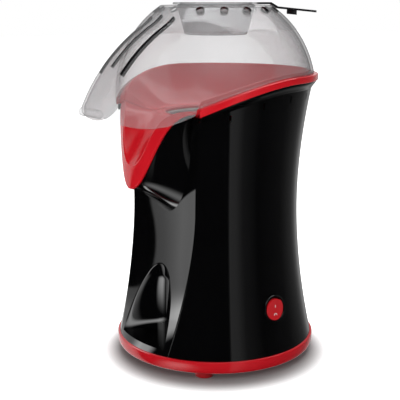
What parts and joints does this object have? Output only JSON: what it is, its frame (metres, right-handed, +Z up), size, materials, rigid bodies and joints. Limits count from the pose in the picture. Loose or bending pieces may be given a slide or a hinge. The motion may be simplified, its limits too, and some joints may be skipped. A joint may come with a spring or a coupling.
{
  "type": "hot-air popcorn maker",
  "caption": "Hot-air popcorn maker with hourglass body, swept chute, clear lift-off cover, measuring cup and round rocker switch.",
  "frame": {"origin": "on the body's vertical axis, at the floor the feet stand on", "axes": "+Z up, -Y towards the front where the popcorn comes out, +X towards the side with the switch"},
  "size_m": [0.1665, 0.2044, 0.2884],
  "materials": {
    "black_shell": "polished black ABS",
    "red_shell": "polished red ABS",
    "red_rocker": "polished red plastic",
    "foot_rubber": "red moulded rubber",
    "clear_cover": "clear polycarbonate, faintly smoky",
    "clear_cup": "clear polycarbonate",
    "chamber_metal": "drawn aluminium, satin",
    "silicone": "matt silicone",
    "zinc_sheet": "zinc-plated sheet",
    "mica": "mica board",
    "heating_wire": "drawn resistance wire",
    "thermostat_metal": "pressed aluminium",
    "fuse_metal": "tinned metal",
    "inner_plastic": "moulded black plastic",
    "fan_plastic": "moulded pale nylon",
    "magnet": "sintered ferrite",
    "motor_steel": "plated steel",
    "rotor_steel": "laminated steel with lacquer",
    "bearing_bronze": "sintered bronze",
    "screw_steel": "zinc-plated steel",
    "board": "glass-fibre board with black diodes",
    "ceramic": "pale nylon"
  },
  "bodies": {
    "body": {"side_shell": "black_shell", "front_panel": "black_shell", "collar": "black_shell", "red_chute": "red_shell", "base_ring": "red_shell", "bottom_plate": "inner_plastic", "feet": "foot_rubber", "foot_screws": "screw_steel", "popping_chamber": "chamber_metal", "mouth_seal": "silicone", "air_duct": "zinc_sheet", "heater_frame": "mica", "heater_coil": "heating_wire", "thermostat": "thermostat_metal", "thermal_fuse": "fuse_metal", "fan_carrier": "inner_plastic", "carrier_screws": "screw_steel", "fan_housing": "inner_plastic", "motor_can": "motor_steel", "motor_magnets": "magnet", "motor_bearings": "bearing_bronze", "motor_screws": "screw_steel", "rectifier_board": "board", "switch_housing": "inner_plastic", "rocker_pivot": "screw_steel", "cord_gland": "inner_plastic", "terminal_block": "ceramic"},
    "cover": {"clear_cover": "clear_cover"},
    "cup": {"measuring_cup": "clear_cup"},
    "fan": {"impeller": "fan_plastic", "motor_rotor": "rotor_steel", "motor_shaft": "motor_steel"},
    "switch_rocker": {"rocker": "red_rocker"}
  },
  "joints": [
    {"name": "cover_lift", "type": "slide", "parent": "body", "child": "cover", "axis": [0, 0, 1], "range_m": [0, 0.06]},
    {"name": "cup_lift", "type": "slide", "parent": "cover", "child": "cup", "axis": [0, 0, 1], "range_m": [0, 0.04]},
    {"name": "fan_spin", "type": "hinge", "parent": "body", "child": "fan", "pos_m": [0, 0, 0.06], "axis": [0, 0, 1], "continuous": true},
    {"name": "switch_rock", "type": "hinge", "parent": "body", "child": "switch_rocker", "pos_m": [0.07347, 0, 0.05131], "axis": [0, -1, 0], "range_deg": [0, 14]}
  ]
}
